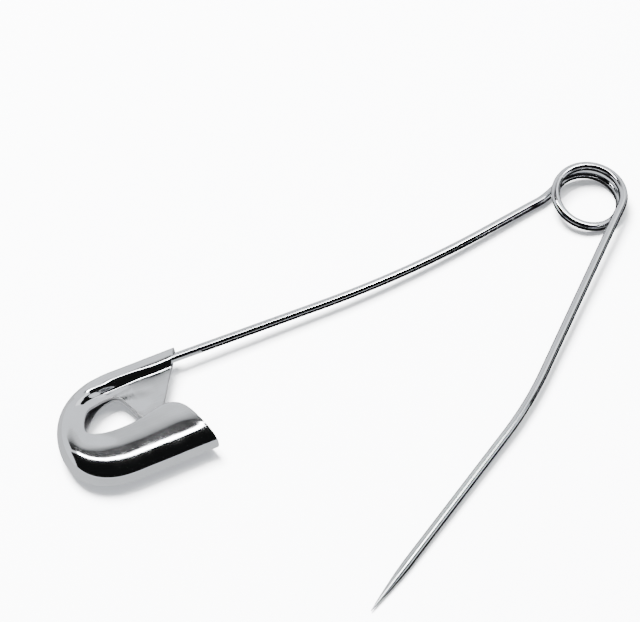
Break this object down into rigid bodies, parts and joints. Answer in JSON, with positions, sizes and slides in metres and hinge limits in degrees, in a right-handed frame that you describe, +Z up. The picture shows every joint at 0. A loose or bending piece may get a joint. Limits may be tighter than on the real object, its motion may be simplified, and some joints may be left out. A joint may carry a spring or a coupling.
{
  "type": "safety pin",
  "caption": "Curved safety pin, open: a bowed wire with a spring coil and a ground point, and a folded sheet cap with a guard, an eye and a crimped channel.",
  "frame": {"origin": "on the surface that the pin lies on, under the middle of the open pin's bounding box", "axes": "+X along the pin from the cap towards the spring coil, +Y away from the side that the pointed leg opens to, +Z up from the surface that the pin lies on"},
  "size_m": [0.0524, 0.0296, 0.0029],
  "materials": {
    "cap_steel": "bright nickel plate, polished",
    "wire_steel": "bright nickel plate over drawn wire"
  },
  "bodies": {
    "root": {"cap": "cap_steel", "fixed_leg": "wire_steel"},
    "coil": {"spring_coil": "wire_steel"},
    "leg": {"pointed_leg": "wire_steel"}
  },
  "joints": [
    {"name": "leg_swing", "type": "hinge", "parent": "root", "child": "coil", "pos_m": [0.02302, 0.01159, 0.00118], "axis": [0.0618, -0.153, 0.9863], "range_deg": [-34, 10], "stiffness_Nm_per_rad": 0.03, "deforming": ["spring_coil"]},
    {"name": "leg_lift", "type": "hinge", "parent": "coil", "child": "leg", "pos_m": [0.02428, 0.00886, 0.00157], "axis": [-0.6388, 0.7694, 0], "range_deg": [-2.8, 8], "stiffness_Nm_per_rad": 0.03}
  ]
}
